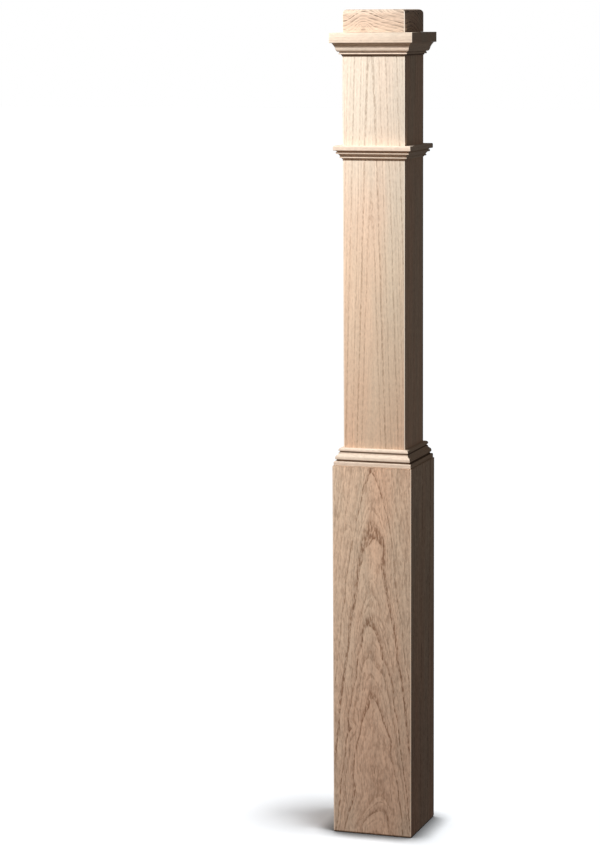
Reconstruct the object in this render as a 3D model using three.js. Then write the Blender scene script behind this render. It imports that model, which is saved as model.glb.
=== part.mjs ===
// A box newel post in unfinished oak, built the way a stair joiner builds one.
//
// Four mitred boards make a hollow square shaft that runs the whole height, and four more are
// wrapped round its lower part as a wider base. A mitred moulding covers the step between the
// two, a second one is a collar round the shaft, and a third carries the flat cap, which is a
// square plate with a block on it whose upper edges are rounded.
//
// Units are millimetres. The origin is the centre of the underside, +Z is up and the front
// faces -Y.
import * as THREE from "three";

// Driving dimensions
const inch = 25.4;
const board = (11 / 16) * inch; // thickness of every board
const hollow = 3.5 * inch; // the square space inside, for a mounting block
const shaftWidth = hollow + 2 * board;
const baseWidth = shaftWidth + 2 * board;
const baseHeight = 28.5 * inch;
const collarTop = 52.5625 * inch;
const plateBottom = 60.125 * inch;
const plateThickness = 0.75 * inch;
const plateOverhang = 0.78125 * inch; // how far the plate stands out from the shaft
const blockThickness = 1.6875 * inch;
const blockInset = 0.3; // the block is this much smaller than the shaft on each side
const blockRound = 8; // radius of the block's upper edges
const arris = 0.8; // radius of the other eased edges
const glueLine = 0.3; // space left between two pieces that meet

const shaftHalf = shaftWidth / 2;
const baseHalf = baseWidth / 2;
const plateTop = plateBottom + plateThickness;

// The members of each moulding, from its foot to its thin end. The base moulding stands on its
// foot, and the other two hang with the foot up. A band stands out from the shaft by out, and
// its two edges may be rounded. A member with into runs in from out to into along a curve, which
// is a double one where it is an ogee. Otherwise bulge is 0 for a hollow, 0.5 for a flat slope
// and 1 for a full round.
const baseMembers = [
  { out: 15.5, height: 8.4, footRound: 0.8, farRound: 2.2 },
  { out: 10.8, height: 3.4 },
  { out: 13, height: 3.2, footRound: 0.4 },
  { out: 13, height: 9.2, into: 7.5, ogee: true },
  { out: 7.5, height: 0.8 },
  { out: 5.8, height: 2.7 },
  { out: 8, height: 6.1, footRound: 0.4, farRound: 4.8 },
];
const collarMembers = [
  { out: 14.8, height: 9.3, footRound: 2, farRound: 1.2 },
  { out: 11.4, height: 2.6, into: 8.2, bulge: 0.3 },
  { out: 10.3, height: 3.8, footRound: 0.6, farRound: 0.8 },
  { out: 7.2, height: 5.4, into: 3.6, bulge: 0.3 },
  { out: 4.8, height: 2.3, footRound: 0.5, farRound: 0.5 },
  { out: 2.2, height: 1.9, into: 0.8, bulge: 0.3 },
];
const capMembers = [
  { out: 16.2, height: 8.8, into: 10.8, bulge: 0.42 },
  { out: 10.8, height: 7.6, into: 6.4, bulge: 0.85 },
  { out: 4.2, height: 1.4 },
  { out: 5.2, height: 3.2, footRound: 0.6, farRound: 0.6 },
  { out: 2.2, height: 2.8, into: 0.8, bulge: 0.35 },
];

const arcSteps = 5;
const quarter = Math.PI / 2;
const { lerp } = THREE.MathUtils;

const oak = (color) => new THREE.MeshStandardMaterial({ color, roughness: 0.72, metalness: 0 });
const baseOak = oak(0xc0a284);
const shaftOak = oak(0xddc6ac);
const mouldingOak = oak(0xe2cdb6);
const capOak = oak(0xe8d6bf);

const heightOf = (members) => members.reduce((sum, m) => sum + m.height, 0);

// The section of a moulding, as points (out from the face of the shaft, height above its foot)
function mouldingSection(members) {
  const path = new THREE.Path();
  path.moveTo(glueLine, 0);
  let level = 0;
  for (const member of members) {
    const { out, height, into = out, ogee, bulge = 0, footRound = 0, farRound = 0 } = member;
    const middle = level + height / 2;
    const end = level + height;
    const bend = { x: lerp(into, out, bulge), y: lerp(level, end, bulge) };
    path.lineTo(out - footRound, level);
    if (footRound) path.absarc(out - footRound, level + footRound, footRound, -quarter, 0);
    if (ogee) path.bezierCurveTo(out, middle, into, middle, into, end);
    else if (into < out) path.quadraticCurveTo(bend.x, bend.y, into, end);
    else if (farRound) path.absarc(out - farRound, end - farRound, farRound, 0, quarter);
    else path.lineTo(out, end);
    level = end;
  }
  path.lineTo(glueLine, level);
  return path.getPoints(arcSteps);
}

// A length of moulding along the front of the shaft, mitred at its ends: the section is
// extruded by one, and each end of it is then slid out as far as the mitre lies.
function mitredMoulding(members, footUp) {
  const section = mouldingSection(members);
  if (footUp) section.forEach((point) => point.setY(heightOf(members) - point.y));
  const strip = new THREE.ExtrudeGeometry(new THREE.Shape(section), {
    depth: 1,
    bevelEnabled: false,
  });
  const position = strip.getAttribute("position");
  for (let i = 0; i < position.count; i++) {
    const fromAxis = shaftHalf + position.getX(i);
    const end = 1 - 2 * position.getZ(i);
    position.setXYZ(i, end * (fromAxis - glueLine / 2), -fromAxis, position.getY(i));
  }
  return strip;
}

// An upright board on the front of a square box, mitred along both edges, with half of each
// eased corner of the box on it. Its faces are divided where other pieces cross them.
function mitredBoard(outerHalf, innerHalf, levels) {
  const mitre = glueLine / 2;
  const corner = outerHalf - arris;
  const plan = new THREE.Shape();
  plan.moveTo(mitre - innerHalf, -innerHalf);
  plan.lineTo(innerHalf - mitre, -innerHalf);
  plan.absarc(corner - mitre, -corner, arris, -quarter / 2, -quarter, true);
  plan.absarc(mitre - corner, -corner, arris, -quarter, -1.5 * quarter, true);
  const stretches = levels.length - 1;
  const upright = new THREE.ExtrudeGeometry(plan, {
    depth: stretches,
    steps: stretches,
    bevelEnabled: false,
    curveSegments: arcSteps,
  });
  const position = upright.getAttribute("position");
  for (let i = 0; i < position.count; i++) {
    position.setZ(i, levels[Math.round(position.getZ(i))]);
  }
  return upright;
}

// A solid square piece, made as a lathe turns a round one, but with four sides
function squarePiece(half, thickness, lowerRound, upperRound) {
  const profile = new THREE.Path();
  profile.moveTo(0, 0);
  profile.lineTo(half - lowerRound, 0);
  profile.absarc(half - lowerRound, lowerRound, lowerRound, -quarter, 0);
  profile.absarc(half - upperRound, thickness - upperRound, upperRound, 0, quarter);
  profile.lineTo(0, thickness);
  const corners = profile.getPoints(arcSteps).map((p) => new THREE.Vector2(p.x * Math.SQRT2, p.y));
  return new THREE.LatheGeometry(corners, 4, quarter / 2).rotateX(quarter);
}

const newelPost = new THREE.Group();

function addPiece(name, geometry, material, bottom, turn = 0) {
  const piece = new THREE.Mesh(geometry, material);
  piece.name = name;
  piece.position.z = bottom;
  piece.rotation.z = turn;
  newelPost.add(piece);
}

// The same piece on each side of the post, going round from the front by the right
function addFourSides(name, geometry, material, bottom) {
  ["front", "right", "back", "left"].forEach((side, i) => {
    addPiece(`${name}_${side}`, geometry, material, bottom, i * quarter);
  });
}

// Heights at which the mouldings lie
const mouldingBottom = baseHeight + glueLine;
const collarBottom = collarTop - heightOf(collarMembers);
const capMouldingTop = plateBottom - glueLine;
const capMouldingBottom = capMouldingTop - heightOf(capMembers);

// Hollow shaft, with its faces divided at the pieces round it, and the base wrapped round it
const mouldingTop = mouldingBottom + heightOf(baseMembers);
const crossings = [baseHeight, mouldingTop, collarBottom, collarTop, capMouldingBottom];
const shaftLevels = [0, ...crossings, capMouldingTop];
addFourSides("shaft_board", mitredBoard(shaftHalf, hollow / 2, shaftLevels), shaftOak, 0);
const baseBoard = mitredBoard(baseHalf, shaftHalf + glueLine, [0, baseHeight]);
addFourSides("base_board", baseBoard, baseOak, 0);

// Mouldings
const baseMoulding = mitredMoulding(baseMembers, false);
const collarMoulding = mitredMoulding(collarMembers, true);
const capMoulding = mitredMoulding(capMembers, true);
addFourSides("base_moulding", baseMoulding, mouldingOak, mouldingBottom);
addFourSides("collar_moulding", collarMoulding, mouldingOak, collarBottom);
addFourSides("cap_moulding", capMoulding, mouldingOak, capMouldingBottom);

// Cap
const capPlate = squarePiece(shaftHalf + plateOverhang, plateThickness, arris, arris);
addPiece("cap_plate", capPlate, capOak, plateBottom);
const blockHalf = shaftHalf - blockInset;
const capBlock = squarePiece(blockHalf, blockThickness - glueLine, glueLine, blockRound);
addPiece("cap_block", capBlock, capOak, plateTop + glueLine);

export default newelPost;
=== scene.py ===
import math
import bmesh
import bpy
from mathutils import Matrix, Vector
from mathutils.geometry import interpolate_bezier


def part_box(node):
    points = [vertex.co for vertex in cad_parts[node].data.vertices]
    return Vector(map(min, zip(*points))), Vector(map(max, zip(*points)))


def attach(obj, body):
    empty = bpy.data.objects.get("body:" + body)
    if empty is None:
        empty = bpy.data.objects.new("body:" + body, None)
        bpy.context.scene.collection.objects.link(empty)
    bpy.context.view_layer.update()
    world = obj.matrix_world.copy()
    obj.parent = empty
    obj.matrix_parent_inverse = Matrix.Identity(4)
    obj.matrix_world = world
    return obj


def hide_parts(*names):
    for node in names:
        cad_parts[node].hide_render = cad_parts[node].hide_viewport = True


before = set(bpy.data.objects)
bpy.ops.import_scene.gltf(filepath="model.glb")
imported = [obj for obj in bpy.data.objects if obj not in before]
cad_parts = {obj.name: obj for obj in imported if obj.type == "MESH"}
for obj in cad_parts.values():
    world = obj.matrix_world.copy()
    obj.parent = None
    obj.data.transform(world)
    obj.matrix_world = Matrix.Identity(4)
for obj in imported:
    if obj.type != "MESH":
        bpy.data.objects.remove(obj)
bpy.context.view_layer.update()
scene = bpy.context.scene
print("frame loaded with", len(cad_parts), "nodes")

mm = 0.001
inch = 25.4 * mm
quarter = math.pi / 2
sides = ["front", "right", "back", "left"]  # going round from -Y by +X

# sizes that the pieces share
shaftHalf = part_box("shaft_board_front")[1].x
boardThickness = 11 / 16 * inch
hairline = 0.12 * mm  # what shows of a glued joint
black = (0, 0, 0, 1)


# camera, at the photo's viewing angle

photoCamera = {
    "imageSize": (600, 853),  # pixels
    "focalLength": 2774.3,  # in the same pixels
    "sensor": 36,  # mm, along the longer side of the image
    "place": (1.5608, -5.0692, 1.5774),
    "pan": 18.860,  # degrees, as the next two
    "pitch": -8.415,
    "roll": -0.344,
}


def makeCamera(look):
    data = bpy.data.cameras.new("photoCamera")
    data.sensor_width = look["sensor"]
    data.lens = look["focalLength"] * look["sensor"] / max(look["imageSize"])
    camera = bpy.data.objects.new("photoCamera", data)
    scene.collection.objects.link(camera)
    pan = Matrix.Rotation(math.radians(look["pan"]), 4, "Z")
    pitch = Matrix.Rotation(quarter + math.radians(look["pitch"]), 4, "X")
    roll = Matrix.Rotation(math.radians(look["roll"]), 4, "Z")
    camera.matrix_world = Matrix.Translation(look["place"]) @ pan @ pitch @ roll
    return camera


scene.camera = makeCamera(photoCamera)
scene.view_settings.view_transform = "Standard"
print("camera in place, lens", round(scene.camera.data.lens, 2), "mm")


# short ways to place and join shader nodes

def addNode(tree, kind, inputs=None, **settings):
    node = tree.nodes.new("ShaderNode" + kind)
    for key, value in settings.items():
        setattr(node, key, value)
    for key, value in (inputs or {}).items():
        feed(tree, node.inputs[key], value)
    return node


def feed(tree, socket, value):
    if isinstance(value, bpy.types.NodeSocket):
        tree.links.new(value, socket)
    else:
        socket.default_value = value


def calc(tree, operation, first, second=0.0, third=0.0):
    node = addNode(tree, "Math", {0: first, 1: second, 2: third}, operation=operation)
    return node.outputs[0]


def spread(tree, value, low, high, toLow=0.0, toHigh=1.0):
    ends = {"From Min": low, "From Max": high, "To Min": toLow, "To Max": toHigh}
    node = addNode(tree, "MapRange", {"Value": value, **ends}, interpolation_type="SMOOTHSTEP")
    return node.outputs[0]


def tint(tree, share, first, second, mode="MIX"):
    # 6, 7 and 2 are the sockets of a Mix node that carry colours
    node = addNode(tree, "Mix", {0: share, 6: first, 7: second}, data_type="RGBA", blend_type=mode)
    return node.outputs[2]


# floor, white surroundings and lamps

studio = {
    "floorSize": 80,  # metres
    "floorColour": (0.87, 0.90, 0.93, 1),
    "floorRoughness": 0.9,
    "contactReach": 0.045,  # how far off the post the painted contact shadow darkens the floor, and how steeply
    "contactPower": 2.3,
    "contactSamples": 12,
    "seenColour": (1, 1, 1, 1),  # what the camera sees behind the post
    "seenStrength": 1.0,
    "fillColour": (0.088, 0.076, 0.068, 1),  # what the surroundings give the shaded faces
    "fillStrength": 1.0,
}


def makeFloor(look):
    bm = bmesh.new()
    bmesh.ops.create_grid(bm, x_segments=1, y_segments=1, size=look["floorSize"] / 2)
    mesh = bpy.data.meshes.new("floor")
    bm.to_mesh(mesh)
    bm.free()
    floor = bpy.data.objects.new("floor", mesh)
    scene.collection.objects.link(floor)
    floor.visible_diffuse = False  # a pale floor would light the shaded faces too much
    floor.visible_glossy = False
    paint = bpy.data.materials.new("palePaint")
    paint.use_nodes = True
    tree = paint.node_tree
    surface = tree.nodes["Principled BSDF"]
    # a painted contact shadow: ambient occlusion darkens the floor's colour near the post
    reach = {"Distance": look["contactReach"]}
    clear = addNode(tree, "AmbientOcclusion", reach, samples=look["contactSamples"]).outputs["AO"]
    clear = calc(tree, "POWER", clear, look["contactPower"])
    feed(tree, surface.inputs["Base Color"], tint(tree, clear, black, look["floorColour"]))
    surface.inputs["Roughness"].default_value = look["floorRoughness"]
    surface.inputs["Specular IOR Level"].default_value = 0.0
    mesh.materials.append(paint)
    return floor


def makeSurroundings(look):
    world = bpy.data.worlds.new("studio")
    scene.world = world
    world.use_nodes = True
    tree = world.node_tree
    tree.nodes.clear()
    seen = addNode(tree, "Background", {"Color": look["seenColour"], "Strength": look["seenStrength"]})
    fill = addNode(tree, "Background", {"Color": look["fillColour"], "Strength": look["fillStrength"]})
    isSeen = addNode(tree, "LightPath").outputs["Is Camera Ray"]
    both = addNode(tree, "MixShader", {0: isSeen, 1: fill.outputs[0], 2: seen.outputs[0]})
    addNode(tree, "OutputWorld", {"Surface": both.outputs[0]})


postLamps = {
    "softbox": {
        "place": (-1.5, -1.6, 3.0), "aim": (0, 0, 1.2), "size": (0.3, 0.3),
        "power": 123, "colour": (1, 0.985, 0.96),
    },
    "backbox": {
        "place": (-2.0, 1.7, 2.2), "aim": (0, 0, 0.9), "size": (1.2, 1.2),
        "power": 26, "colour": (1, 0.98, 0.95),
    },
    "bouncebox": {
        "place": (-1.3, -2.1, 0.3), "aim": (0, 0, 1.2), "size": (1.2, 1.2),
        "power": 10, "colour": (1, 0.6, 0.36),
    },
}
floorLamps = {  # two suns, for the shadows that the post throws
    "sideLamp": {"from": (0.09, -0.015, 1.0), "angle": 6.9, "strength": 2.55},
    "overheadLamp": {"from": (-0.022, 0.022, 1.0), "angle": 2.2, "strength": 0.90},
}


def aimed(place, aim):
    away = Vector(place) - Vector(aim)
    return Matrix.Translation(place) @ away.to_track_quat("Z", "Y").to_matrix().to_4x4()


def makeSoftbox(name, look):
    data = bpy.data.lights.new(name, "AREA")
    data.shape = "RECTANGLE"
    data.size, data.size_y = look["size"]
    data.energy = look["power"]
    data.color = look["colour"]
    lamp = bpy.data.objects.new(name, data)
    scene.collection.objects.link(lamp)
    lamp.matrix_world = aimed(look["place"], look["aim"])
    lamp.visible_camera = False
    return lamp


def makeFloorLamp(name, look):
    data = bpy.data.lights.new(name, "SUN")
    data.angle = math.radians(look["angle"])
    data.energy = look["strength"]
    lamp = bpy.data.objects.new(name, data)
    scene.collection.objects.link(lamp)
    lamp.matrix_world = aimed(look["from"], (0, 0, 0))
    return lamp


def linkLamp(lamp, thing, state):
    # INCLUDE: the lamp lights that thing alone, EXCLUDE: everything else
    group = bpy.data.collections.new(lamp.name + "Group")
    group.objects.link(thing)
    lamp.light_linking.receiver_collection = group
    group.collection_objects[0].light_linking.link_state = state


floor = makeFloor(studio)
makeSurroundings(studio)
for name, look in postLamps.items():
    linkLamp(makeSoftbox(name, look), floor, "EXCLUDE")
for name, look in floorLamps.items():
    linkLamp(makeFloorLamp(name, look), floor, "INCLUDE")
print("floor and lamps in place")


# oak, worked out from the log that each piece was sawn from

plainOak = {  # what the pieces may change
    "upright": True,  # or with its grain lying across the post
    "tones": (  # by height, paler towards the top: partly the wood's own tone, partly painted light
        (0.7, (0.72, 0.55, 0.42, 1)),
        (1.1, (0.77, 0.64, 0.51, 1)),
        (1.5, (0.81, 0.70, 0.60, 1)),
    ),
    "blush": (1.05, 0.97, 0.92, 1),  # two casts that change places over the tones
    "straw": (0.97, 1.0, 0.99, 1),
    "fibre": 0.3,  # how much the fibres, the fine tooth and the broader patches shade it
    "tooth": 0.3,
    "cloud": 0.06,
    "heart": (0.0, 0.022),  # the log's centre: across the piece, and behind its face
    "rise": 0.016,  # how fast the log tapers
    "ringWidth": 6 * mm,
    "wander": (22 * mm, 9, 1.3),  # how far the rings stray, and how often across and along
    "ripple": (3 * mm, 34, 9),
    "swells": (),  # where they bulge: across, along, push, half width, half length
    "line": (0.37, 0.28, 0.21, 1),
    "lineStrength": 0.6,
    "lineWidth": 1.0,
    "lateWood": 0.15,  # how dark the slow growth beside a line is
    "dashes": (480, 110),  # how many a metre, across and along
    "loose": 0.3,  # dashes that lie between the rings
    "pore": (0.40, 0.29, 0.22, 1),
    "poreStrength": 0.4,
    # the colour of the painted highlight along the arrises, and how strong it is
    "paintedHighlight": (0.95, 0.88, 0.78, 1),
    "paintedHighlightStrength": 0.8,
    "endGrainAndShade": 0.0,  # how much darker the faces across the grain are: partly end grain, partly painted shade on the sides
    # the colour of the painted shade laid into the grooves
    "paintedShade": (0.16, 0.09, 0.05, 1),
    "grooves": (),  # height, half height and how much painted shade lies in it
}
grain = {  # what is the same in all of them
    "pieceShift": (7.3, -3.1, 5.7),  # how far a noise moves from one seed to the next
    "noiseShift": (1, 0.7, 1),  # and from one noise to the next
    "noiseMean": 0.5,
    "seasons": (0.55, 1.3),  # how often the rings are wide or narrow by turns, and by how much
    "swellReach": 2,  # how far out a swell fades away, in half sizes
    "newYear": 1.0,  # how dark the line is that begins a year
    "fading": ((0.16, 0.85), (0.27, "lateWood"), (0.48, 0.0)),  # where in the year, and how dark
    "midYear": 0.5,  # where a fainter line begins
    "faintLine": ((0.0, 0.0), (0.03, 0.55), (0.12, 0.5), (0.16, 0.0)),
    "darkening": (0.95, 0.06),  # where it starts to turn dark for the next year
    "yearEnd": 0.7,
    "leastRing": 0.35,  # strength of the faintest ring
    "dashEdge": (0.4, 0.58),  # between which values of its noise a dash begins, as in every edge here
    "leastDash": 0.25,
    "looseScale": (0.9, 0.7),  # set against the other dashes
    "looseEdge": (0.53, 0.66),
    "poreScale": (1500, 110),  # how many a metre, across and along, as the next four
    "fibreScale": (420, 9),
    "toothScale": (300, 130),
    "cloudScale": (60, 18),
    "castScale": (14, 2.4),
    "poreEdge": (0.56, 0.70),
    "castEdge": (0.34, 0.66),
    "sparsePores": 0.2,  # share of the pores that lies outside the rings
    "endEdge": (0.6, 0.9),  # how squarely a face looks along the grain
    # where the painted highlight along the arrises begins and ends
    "paintedHighlightEdge": (2.6 * mm, 1.4 * mm),  # in from the face
    # how softly the painted shade in a groove fades out
    "paintedShadeEdge": 0.5 * mm,
}
finish = {  # how it takes the light
    "specular": 0.3,
    "roughness": 0.60,
    "dashRoughness": 0.16,
    "poreRoughness": 0.1,
    "dashDepth": 0.35,  # set against a pore's
    "fibreHeight": 0.5,
    "bumpStrength": 0.5,
    "bumpDistance": 0.25 * mm,
}


def gray(value):
    return value, value, value, 1


def addStop(ramp, place, value):
    ramp.elements.new(place).color = gray(value)


def oak(name, wood, side, half):
    wood = {**plainOak, **wood}
    seed = wood["seed"]
    material = bpy.data.materials.new(name)
    material.use_nodes = True
    tree = material.node_tree
    surface = tree.nodes["Principled BSDF"]
    spot = addNode(tree, "TexCoord").outputs["Object"]

    # turned so that every side is sawn from its log as the front is
    turned = addNode(tree, "Mapping", {"Vector": spot, "Rotation": (0, 0, -side * quarter)}).outputs[0]
    xyz = addNode(tree, "SeparateXYZ", {0: turned}).outputs
    across, along = (xyz[0], xyz[2]) if wood["upright"] else (xyz[2], xyz[0])
    heartAcross, heartDepth = wood["heart"]
    fromHeart = calc(tree, "SUBTRACT", across, heartAcross)
    behind = calc(tree, "SUBTRACT", xyz[1], heartDepth - half)
    inLog = addNode(tree, "CombineXYZ", {0: fromHeart, 1: behind, 2: along}).outputs[0]

    # each noise has a number, so that no two of them fall together
    def noise(scale, number, detail=1):
        acrossScale, alongScale = scale
        shifts = zip(grain["noiseShift"], grain["pieceShift"])
        place = {
            "Vector": inLog,
            "Location": [number * noiseShift + seed * pieceShift for noiseShift, pieceShift in shifts],
            "Scale": (acrossScale, acrossScale, alongScale),
        }
        placed = addNode(tree, "Mapping", place).outputs[0]
        inputs = {"Vector": placed, "Scale": 1.0, "Detail": detail}
        return addNode(tree, "TexNoise", inputs).outputs["Fac"]

    # growth rings round the heart of a tapering log that doesn't grow quite straight
    flat = addNode(tree, "VectorMath", {0: inLog, 1: (1, 1, 0)}, operation="MULTIPLY").outputs[0]
    grown = addNode(tree, "VectorMath", {0: flat}, operation="LENGTH").outputs["Value"]
    grown = calc(tree, "MULTIPLY_ADD", along, wood["rise"], grown)
    for number, (amount, *scale) in ((1, wood["wander"]), (2, wood["ripple"])):
        grown = calc(tree, "MULTIPLY_ADD", noise(scale, number), amount, grown)
    face = addNode(tree, "CombineXYZ", {0: across, 1: along}).outputs[0]
    for left, low, push, halfWidth, halfLength in wood["swells"]:
        scale = (1 / halfWidth, 1 / halfLength, 1)
        shift = (-left * scale[0], -low * scale[1], 0)
        shifted = addNode(tree, "Mapping", {"Vector": face, "Location": shift, "Scale": scale})
        away = addNode(tree, "VectorMath", {0: shifted.outputs[0]}, operation="LENGTH").outputs["Value"]
        grown = calc(tree, "ADD", grown, spread(tree, away, 0, grain["swellReach"], push, 0))
    years = calc(tree, "DIVIDE", grown, wood["ringWidth"])
    often, amount = grain["seasons"]
    season = {"W": calc(tree, "MULTIPLY_ADD", years, often, seed), "Scale": 1.0}
    season = addNode(tree, "TexNoise", season, noise_dimensions="1D").outputs["Fac"]
    years = calc(tree, "MULTIPLY_ADD", season, amount, years)

    # the year in each ring, dark where the early wood is
    ring = addNode(tree, "ValToRGB", {0: calc(tree, "FRACT", years)})
    year = ring.color_ramp
    year.elements[0].color = gray(grain["newYear"])
    year.elements[1].color = gray(grain["yearEnd"])
    addStop(year, *grain["darkening"])
    for place, value in grain["fading"]:
        addStop(year, place * wood["lineWidth"], wood.get(value, value))
    for place, value in grain["faintLine"]:
        addStop(year, grain["midYear"] + place * wood["lineWidth"], value)
    strong = addNode(tree, "TexWhiteNoise", {"W": calc(tree, "FLOOR", years)}, noise_dimensions="1D")
    strong = spread(tree, strong.outputs["Value"], 0, 1, grain["leastRing"], 1)
    early = calc(tree, "MULTIPLY", ring.outputs[0], strong)

    # rows of open pores, which the eye takes for dashes
    dash = spread(tree, noise(wood["dashes"], 3, 2), *grain["dashEdge"], grain["leastDash"], 1)
    dashed = calc(tree, "MULTIPLY", early, dash)
    looseScale = [scale * share for scale, share in zip(wood["dashes"], grain["looseScale"])]
    loose = spread(tree, noise(looseScale, 4, 2), *grain["looseEdge"], 0, wood["loose"])
    dashed = calc(tree, "MAXIMUM", dashed, loose)
    pore = spread(tree, noise(grain["poreScale"], 5), *grain["poreEdge"])
    sparse = grain["sparsePores"]
    pore = calc(tree, "MULTIPLY", pore, calc(tree, "MULTIPLY_ADD", early, 1 - sparse, sparse))
    fibre = noise(grain["fibreScale"], 6, 2)
    tooth = noise(grain["toothScale"], 8)
    cloud = noise(grain["cloudScale"], 9, 2)

    # colour
    height = addNode(tree, "SeparateXYZ", {0: spot}).outputs[2]
    (bottom, lowTone), *higher, (top, highTone) = wood["tones"]
    toned = addNode(tree, "ValToRGB", {0: spread(tree, height, bottom, top)})
    toned.color_ramp.elements[0].color = lowTone
    toned.color_ramp.elements[1].color = highTone
    for level, tone in higher:
        toned.color_ramp.elements.new((level - bottom) / (top - bottom)).color = tone
    castShare = spread(tree, noise(grain["castScale"], 7, 2), *grain["castEdge"])
    cast = tint(tree, castShare, wood["straw"], wood["blush"])
    body = tint(tree, 1.0, toned.outputs[0], cast, "MULTIPLY")
    shade = 1.0
    for part, amount in ((fibre, wood["fibre"]), (tooth, wood["tooth"]), (cloud, wood["cloud"])):
        fromMean = calc(tree, "SUBTRACT", part, grain["noiseMean"])
        shade = calc(tree, "MULTIPLY_ADD", fromMean, amount, shade)
    shade = addNode(tree, "CombineColor", {0: shade, 1: shade, 2: shade}).outputs[0]
    body = tint(tree, 1.0, body, shade, "MULTIPLY")
    body = tint(tree, calc(tree, "MULTIPLY", dashed, wood["lineStrength"]), body, wood["line"], "MULTIPLY")
    body = tint(tree, calc(tree, "MULTIPLY", pore, wood["poreStrength"]), body, wood["pore"], "MULTIPLY")

    # sawn ends made darker: partly end grain, partly painted shade on the sides
    if wood["endGrainAndShade"]:
        normal = addNode(tree, "TexCoord").outputs["Normal"]
        facing = addNode(tree, "VectorMath", {0: normal}, operation="ABSOLUTE").outputs[0]
        endwise = addNode(tree, "SeparateXYZ", {0: facing}).outputs[0]
        darker = spread(tree, endwise, *grain["endEdge"], 0, wood["endGrainAndShade"])
        body = tint(tree, darker, body, black)

    # a painted highlight: the arrises made paler where the corners catch the light
    axes = addNode(tree, "VectorMath", {0: spot}, operation="ABSOLUTE").outputs[0]
    apart = addNode(tree, "SeparateXYZ", {0: axes}).outputs
    nearest = calc(tree, "MINIMUM", apart[0], apart[1])
    highlightFrom, highlightTo = [half - depth for depth in grain["paintedHighlightEdge"]]
    paintedHighlight = spread(tree, nearest, highlightFrom, highlightTo, 0, wood["paintedHighlightStrength"])
    body = tint(tree, paintedHighlight, body, wood["paintedHighlight"])

    # painted shade in the grooves, where the recesses of the mouldings lie in shadow
    for level, halfHeight, amount in wood["grooves"]:
        away = calc(tree, "ABSOLUTE", calc(tree, "SUBTRACT", height, level))
        paintedShade = spread(tree, away, halfHeight, halfHeight + grain["paintedShadeEdge"], amount, 0)
        body = tint(tree, paintedShade, body, wood["paintedShade"])
    feed(tree, surface.inputs["Base Color"], body)

    # gloss and relief
    surface.inputs["Specular IOR Level"].default_value = finish["specular"]
    rough = calc(tree, "MULTIPLY_ADD", dashed, finish["dashRoughness"], finish["roughness"])
    rough = calc(tree, "MULTIPLY_ADD", pore, finish["poreRoughness"], rough)
    feed(tree, surface.inputs["Roughness"], rough)
    sunk = calc(tree, "MULTIPLY_ADD", dashed, finish["dashDepth"], pore)
    raised = calc(tree, "SUBTRACT", calc(tree, "MULTIPLY", fibre, finish["fibreHeight"]), sunk)
    bump = {"Height": raised, "Strength": finish["bumpStrength"], "Distance": finish["bumpDistance"]}
    feed(tree, surface.inputs["Normal"], addNode(tree, "Bump", bump).outputs[0])
    return material


# pieces, each made once for the front and turned for the other sides

fits = {  # how near counts as the same
    "point": 0.001 * mm,
    "sectionPoint": 0.01 * mm,
    "diagonal": 0.05 * mm,
    "level": 1 * mm,
    "face": 2 * mm,
    "corner": 5 * mm,
}
softAngle = 32  # degrees, up to which an edge is shaded smooth


def closeUp(bm):
    bmesh.ops.remove_doubles(bm, verts=bm.verts[:], dist=fits["point"])
    bmesh.ops.recalc_face_normals(bm, faces=bm.faces[:])


def isLevel(edge, level):
    return all(abs(v.co.z - level) < fits["level"] for v in edge.verts)


def isDiagonal(edge):
    return all(abs(abs(v.co.x) - abs(v.co.y)) < fits["diagonal"] for v in edge.verts)


def isOuter(edge, half, fit):
    return all(max(abs(v.co.x), abs(v.co.y)) > half - fits[fit] for v in edge.verts)


def easeEdges(bm, edges, radius, steps, clamp=False):
    bmesh.ops.bevel(bm, geom=edges, offset=radius, offset_type="OFFSET", affect="EDGES",
                    segments=steps, profile=0.5, material=-1, clamp_overlap=clamp)


def mitreFront(bm, gap):
    # leaves what lies in front of both diagonals, and closes the cut ends
    for slant in (1, -1):
        geometry = bm.verts[:] + bm.edges[:] + bm.faces[:]
        normal = Vector((slant, 1, 0)).normalized()
        cut = bmesh.ops.bisect_plane(bm, geom=geometry, plane_co=normal * -gap, plane_no=normal,
                                     clear_outer=True)
        rim = [part for part in cut["geom_cut"] if isinstance(part, bmesh.types.BMEdge)]
        bmesh.ops.holes_fill(bm, edges=rim)
    closeUp(bm)


def addPiece(bm, node, material, side=0):
    made = bm.copy()
    turn = Matrix.Rotation(side * quarter, 3, "Z")
    bmesh.ops.rotate(made, verts=made.verts[:], cent=(0, 0, 0), matrix=turn)
    for face in made.faces:
        face.smooth = True
    mesh = bpy.data.meshes.new(node + "_dressed")
    made.to_mesh(mesh)
    made.free()
    mesh.set_sharp_from_angle(angle=math.radians(softAngle))
    mesh.materials.append(material)
    piece = bpy.data.objects.new(node + "_dressed", mesh)
    scene.collection.objects.link(piece)
    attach(piece, "root")
    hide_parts(node)


# boards: how far each edge of a box of four is eased, and in how many steps

shaft = {
    "node": "shaft_board", "head": 0.3 * mm, "foot": 0.3 * mm, "rimSteps": 4,
    "arris": 0.8 * mm, "arrisSteps": 5,
}
base = {
    "node": "base_board", "head": 0.8 * mm, "foot": 3.5 * mm, "rimSteps": 4,
    "arris": 0.8 * mm, "arrisSteps": 5,
}


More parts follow.
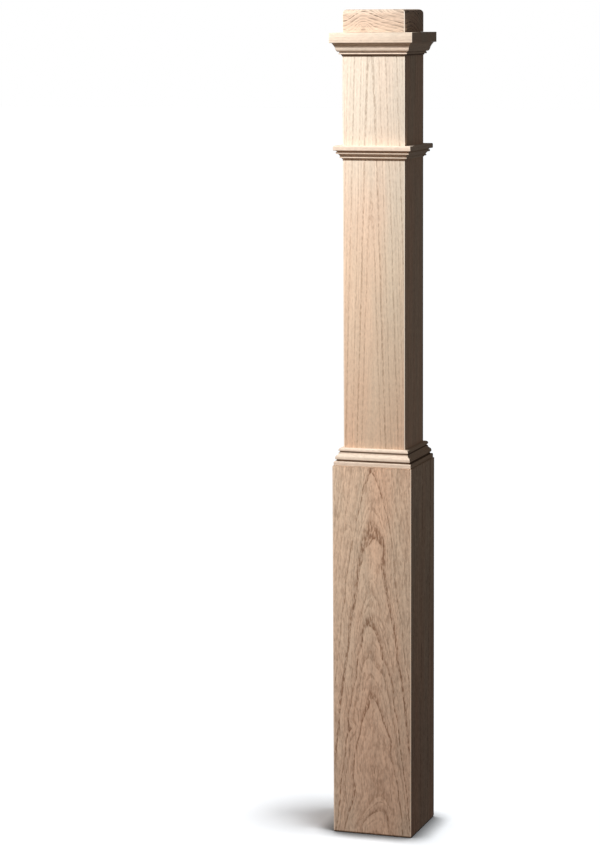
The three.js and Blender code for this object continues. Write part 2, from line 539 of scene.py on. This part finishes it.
def boardBox(look, low, high, half):
    bm = bmesh.new()
    underside = Matrix.Translation((0, 0, low))
    bmesh.ops.create_grid(bm, x_segments=1, y_segments=1, size=half, matrix=underside)
    bmesh.ops.inset_region(bm, faces=bm.faces[:], thickness=boardThickness, use_even_offset=True,
                           use_boundary=True)
    middle = [f for f in bm.faces if f.calc_center_median().xy.length < fits["face"]]
    bmesh.ops.delete(bm, geom=middle, context="FACES")
    raised = bmesh.ops.extrude_face_region(bm, geom=bm.faces[:])["geom"]
    upper = [part for part in raised if isinstance(part, bmesh.types.BMVert)]
    bmesh.ops.translate(bm, verts=upper, vec=(0, 0, high - low))
    closeUp(bm)
    for level, end in ((low, "foot"), (high, "head")):
        rim = [e for e in bm.edges if isOuter(e, half, "face") and isLevel(e, level)]
        easeEdges(bm, rim, look[end], look["rimSteps"])
    corners = [e for e in bm.edges if isDiagonal(e) and isOuter(e, half, "corner")]
    easeEdges(bm, corners, look["arris"], look["arrisSteps"])
    for vert in bm.verts:
        vert.co.z = min(max(vert.co.z, low), high)  # the rounded corners overshoot the ends a little
    return bm


def makeBoards(look, woods):
    low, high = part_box(look["node"] + "_front")
    bm = boardBox(look, low.z, high.z, high.x)
    mitreFront(bm, hairline / 2)
    for side, sideName in enumerate(sides):
        name = f"{look['node']}_{sideName}"
        addPiece(bm, name, oak(name, woods[sideName], side, high.x), side)
    bm.free()


# a separate copy of the tones for the boards on the shaded right side, darker towards the bottom: painted
# shade
shadeTone = {
    "tones": (
        (0.0, (0.68, 0.52, 0.42, 1)),
        (0.3, (0.76, 0.62, 0.50, 1)),
        (0.9, (0.86, 0.72, 0.59, 1)),
        (1.5, (0.84, 0.70, 0.58, 1)),
    ),
    "fibre": 0.9,
    "paintedHighlightStrength": 0.3,
}
shaftWoods = {
    "front": {
        "seed": 1, "heart": (-0.006, 0.008), "rise": 0.03, "ringWidth": 11 * mm, "lineWidth": 0.7,
        "wander": (9 * mm, 9, 1.2), "ripple": (2.5 * mm, 40, 12), "loose": 0.22, "lineStrength": 0.54,
    },
    "right": {**shadeTone, "seed": 2, "heart": (0.16, 0.10)},
    "back": {"seed": 3, "heart": (-0.006, 0.03), "ringWidth": 9 * mm},
    "left": {"seed": 4, "heart": (-0.09, 0.06)},
}
baseTone = {
    "tones": ((0.0, (0.68, 0.53, 0.42, 1)), (0.35, (0.71, 0.54, 0.42, 1)), (0.73, (0.73, 0.56, 0.43, 1))),
    "paintedHighlight": (0.93, 0.79, 0.66, 1),
    "heart": (0.0, 0.046),
    "rise": 0.1,
    "wander": (16 * mm, 9, 1.7),
    "ripple": (7 * mm, 30, 18),
    "ringWidth": 7 * mm,
    "lineStrength": 0.95,
    "lateWood": 0.45,
    "line": (0.36, 0.26, 0.20, 1),
    "dashes": (380, 85),
    "loose": 0.42,
    "cloud": 0.36,
    "tooth": 0.5,
}
baseWoods = {
    "front": {**baseTone, "seed": 5, "swells": (
        (0.027, 0.574, -4.6 * mm, 16 * mm, 40 * mm),
        (-0.042, 0.603, 6 * mm, 9 * mm, 15 * mm),
        (-0.034, 0.208, 6 * mm, 8 * mm, 14 * mm),
        (-0.015, 0.075, 9 * mm, 26 * mm, 34 * mm),
    )},
    "right": {**baseTone, **shadeTone, "seed": 6, "heart": (0.12, 0.08), "rise": 0.02},
    "back": {**baseTone, "seed": 7, "heart": (0.01, 0.026)},
    "left": {**baseTone, "seed": 8, "heart": (-0.015, 0.035), "rise": 0.04},
}
makeBoards(shaft, shaftWoods)
makeBoards(base, baseWoods)
print("boards done")


# mouldings: their members from the foot to the thin end, in mm, out from the shaft's face

baseMoulding = {
    "node": "base_moulding",
    "footUp": False,
    # members in shadow carry how much painted shade darkens their recess
    "members": [
        {"out": 15.5, "height": 8.4, "footRound": 0.8, "farRound": 2.2},
        {"out": 10.8, "height": 3.4, "paintedShade": 0.75},
        {"out": 13, "height": 3.2, "footRound": 0.4},
        {"out": 13, "height": 9.2, "into": 7.5, "ogee": True},
        {"out": 7.5, "height": 0.8},
        {"out": 5.8, "height": 2.7, "paintedShade": 0.6},
        {"out": 8, "height": 6.1, "footRound": 0.4, "farRound": 4.8},
    ],
}
collarMoulding = {
    "node": "collar_moulding",
    "footUp": True,
    "members": [
        {"out": 14.8, "height": 9.3, "footRound": 2, "farRound": 1.2},
        {"out": 11.4, "height": 2.6, "into": 8.2, "bulge": 0.3},
        {"out": 10.3, "height": 3.8, "footRound": 0.6, "farRound": 0.8},
        {"out": 7.2, "height": 5.4, "into": 3.6, "bulge": 0.3},
        {"out": 4.8, "height": 2.3, "footRound": 0.5, "farRound": 0.5},
        {"out": 2.2, "height": 1.9, "into": 0.8, "bulge": 0.3},
    ],
}
capMoulding = {
    "node": "cap_moulding",
    "footUp": True,
    # members in shadow carry how much painted shade darkens their recess
    "members": [
        {"out": 16.2, "height": 8.8, "into": 10.8, "bulge": 0.42},
        {"out": 10.8, "height": 7.6, "into": 6.4, "bulge": 0.85},
        {"out": 4.2, "height": 1.4, "paintedShade": 0.3},
        {"out": 5.2, "height": 3.2, "footRound": 0.6, "farRound": 0.6},
        {"out": 2.2, "height": 2.8, "into": 0.8, "bulge": 0.35, "paintedShade": 0.8},
    ],
}
curveSteps = 10
roundHandle = 0.5523  # how far towards a rounded corner the handles of its curve reach
bendHandle = 2 / 3  # the same for a flatter bend


def curve(*knots):
    return [tuple(point) for point in interpolate_bezier(*[Vector(k) for k in knots], curveSteps)]


def bent(start, bend, end, share=bendHandle):
    first = Vector(start).lerp(Vector(bend), share)
    second = Vector(end).lerp(Vector(bend), share)
    return curve(start, first, second, end)


def section(members):
    points = [(0, 0)]
    level = 0
    for member in members:
        out, height = member["out"], member["height"]
        foot, far, into = member.get("footRound", 0), member.get("farRound", 0), member.get("into", out)
        middle, end = level + height / 2, level + height
        points.append((out - foot, level))
        if foot:
            points += bent((out - foot, level), (out, level), (out, level + foot), roundHandle)
        if member.get("ogee"):
            points += curve((out, level), (out, middle), (into, middle), (into, end))
        elif into < out:
            bulge = member["bulge"]  # 0 is a hollow, 0.5 a flat slope, 1 a full round
            bend = (into + (out - into) * bulge, level + height * bulge)
            points += bent((out, level), bend, (into, end))
        elif far:
            points += bent((out, end - far), (out, end), (out - far, end), roundHandle)
        else:
            points.append((out, end))
        level = end
    return points + [(0, level)]


# the heights of the recesses that get painted shade
def grooves(look, low, high):
    found, level = [], 0
    for member in look["members"]:
        middle, halfHeight = (level + member["height"] / 2) * mm, member["height"] / 2 * mm
        if "paintedShade" in member:
            found.append((high - middle if look["footUp"] else low + middle, halfHeight, member["paintedShade"]))
        level += member["height"]
    return found


def makeMoulding(look, wood, oddSides):
    low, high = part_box(look["node"] + "_front")
    bm = bmesh.new()
    corners = []
    for out, level in section(look["members"]):
        z = high.z - level * mm if look["footUp"] else low.z + level * mm
        x = shaftHalf + max(out, hairline / mm) * mm
        corners.append(bm.verts.new((x, -x, z)))
    for i, corner in enumerate(corners):
        if corner.co != corners[i - 1].co:
            bm.edges.new((corners[i - 1], corner))
    bmesh.ops.remove_doubles(bm, verts=bm.verts[:], dist=fits["sectionPoint"])
    bmesh.ops.spin(bm, geom=bm.verts[:] + bm.edges[:], cent=(0, 0, 0), axis=(0, 0, 1),
                   angle=len(sides) * quarter, steps=len(sides), use_merge=True)
    closeUp(bm)
    mitreFront(bm, hairline / 2)
    dark = {"grooves": grooves(look, low.z, high.z)}
    for side, sideName in enumerate(sides):
        name = f"{look['node']}_{sideName}"
        stick = {**wood, **dark, **oddSides.get(sideName, {}), "seed": wood["seed"] + side}
        addPiece(bm, name, oak(name, stick, side, high.x), side)
    bm.free()


mouldingWood = {
    "upright": False,
    "tones": (
        (0.0, (0.82, 0.68, 0.57, 1)),
        (0.8, (0.82, 0.70, 0.60, 1)),
        (1.5, (0.82, 0.71, 0.61, 1)),
    ),
    "blush": (1.03, 0.98, 0.95, 1),
    "straw": (0.98, 1.0, 0.98, 1),
    "heart": (0.9, 0.25),
    "rise": 0.004,
    "ringWidth": 4 * mm,
    "lineStrength": 0.25,
    "poreStrength": 0.2,
    "paintedHighlightStrength": 0.2,
}
# a darker copy of the tones for the base moulding's right side: painted shade
shadedSideStick = {"tones": ((0.7, (0.68, 0.56, 0.44, 1)), (0.8, (0.68, 0.57, 0.46, 1)))}
makeMoulding(baseMoulding, {**mouldingWood, "seed": 11}, {"right": shadedSideStick})
makeMoulding(collarMoulding, {**mouldingWood, "seed": 21}, {})
makeMoulding(capMoulding, {**mouldingWood, "seed": 31}, {})
print("mouldings done")


# cap: a flat plate, and the block on it

plate = {"node": "cap_plate", "arris": 0.9 * mm, "arrisSteps": 5}
block = {
    "node": "cap_block", "topRound": 8 * mm, "topSteps": 10,
    "arris": 1 * mm, "arrisSteps": 4,
}
plateWood = {
    "seed": 41,
    "upright": False,
    "endGrainAndShade": 0.15,
    "tones": ((1.4, (0.78, 0.68, 0.58, 1)), (1.6, (0.78, 0.68, 0.58, 1))),
    "heart": (0.35, 0.02),
    "rise": 0.006,
    "lineStrength": 0.25,
    "poreStrength": 0.2,
    "paintedHighlightStrength": 0.3,
    "loose": 0.1,
    "cloud": 0.0,
}
blockWood = {
    "seed": 42,
    "upright": False,
    "tones": ((1.4, (0.72, 0.61, 0.50, 1)), (1.6, (0.72, 0.61, 0.51, 1))),
    "line": (0.10, 0.07, 0.05, 1),
    "heart": (1.44, 0.03),
    "rise": 0.28,
    "lineStrength": 1.0,
    "lineWidth": 1.5,
    "lateWood": 0.3,
    "loose": 0.15,
    "dashes": (420, 20),
    "ripple": (4 * mm, 60, 30),
    "wander": (8 * mm, 14, 10),
    "swells": (
        (1.560, -0.062, 30 * mm, 200 * mm, 23 * mm),
        (1.558, -0.018, -8 * mm, 8 * mm, 11 * mm),
        (1.580, 0.030, 3 * mm, 8 * mm, 20 * mm),
    ),
}


def cubeIn(node):
    low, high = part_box(node)
    bm = bmesh.new()
    bmesh.ops.create_cube(bm, size=1)
    bmesh.ops.scale(bm, verts=bm.verts[:], vec=high - low)
    bmesh.ops.translate(bm, verts=bm.verts[:], vec=(low + high) / 2)
    return bm, high


def makePlate(look, wood):
    bm, high = cubeIn(look["node"])
    easeEdges(bm, bm.edges[:], look["arris"], look["arrisSteps"])
    addPiece(bm, look["node"], oak(look["node"], wood, 0, high.x))
    bm.free()


def makeBlock(look, wood):
    bm, high = cubeIn(look["node"])
    topEdges = [e for e in bm.edges if isLevel(e, high.z)]
    easeEdges(bm, topEdges, look["topRound"], look["topSteps"])
    creases = [e for e in bm.edges if isDiagonal(e)]
    easeEdges(bm, creases, look["arris"], look["arrisSteps"], clamp=True)
    addPiece(bm, look["node"], oak(look["node"], wood, 0, high.x))
    bm.free()


makePlate(plate, plateWood)
makeBlock(block, blockWood)
print("cap done")
